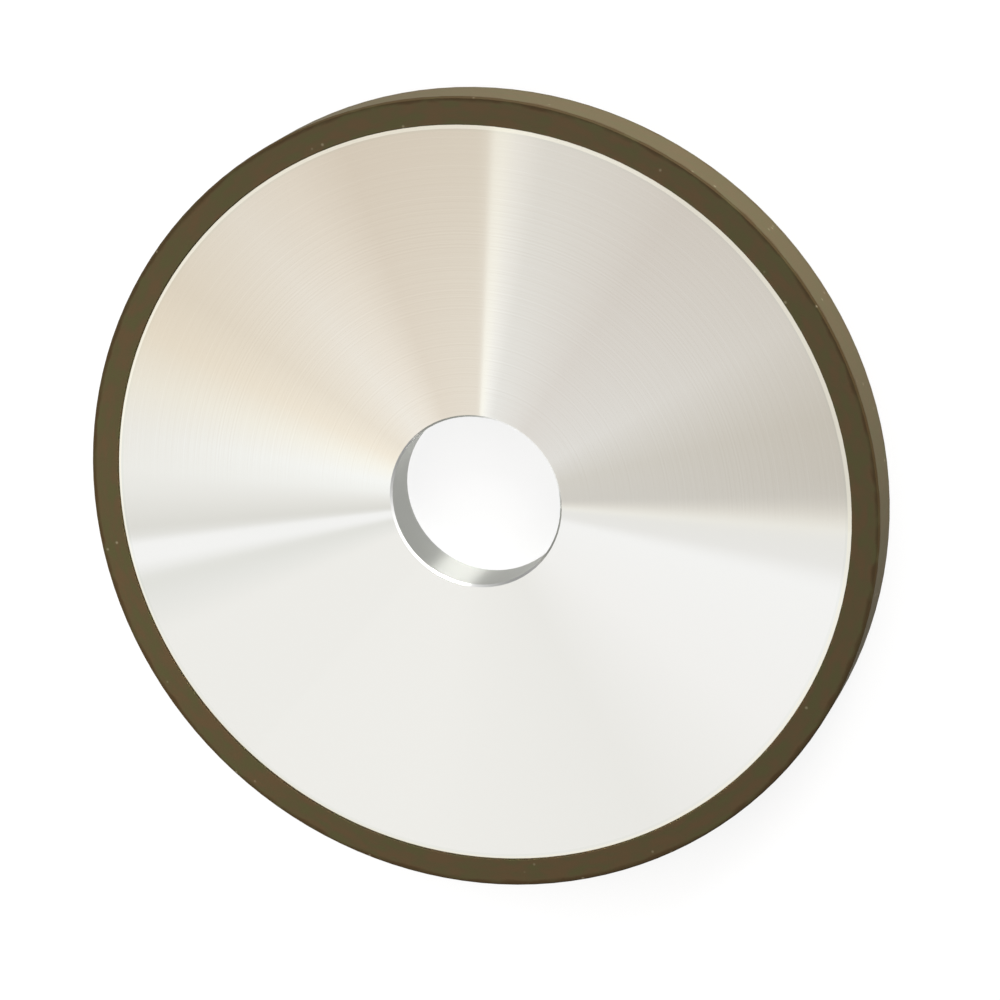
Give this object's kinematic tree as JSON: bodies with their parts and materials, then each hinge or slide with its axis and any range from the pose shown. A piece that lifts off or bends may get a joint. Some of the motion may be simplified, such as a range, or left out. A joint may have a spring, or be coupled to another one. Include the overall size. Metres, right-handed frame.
{
  "type": "diamond grinding wheel",
  "caption": "Flat straight-sided grinding wheel: turned aluminium body with a plain chamfered bore, and a brown resin-bonded diamond rim flush with both faces.",
  "frame": {"origin": "centre of the bore on the face that the wheel lies on", "axes": "+Z along the wheel's axis, up through the bore; X and Y are free, because the wheel is round"},
  "size_m": [0.15, 0.15, 0.01],
  "materials": {
    "turned_aluminium": "satin",
    "resin_bonded_diamond": "matte"
  },
  "bodies": {
    "root": {"aluminium_body": "turned_aluminium", "abrasive_rim": "resin_bonded_diamond"}
  },
  "joints": []
}
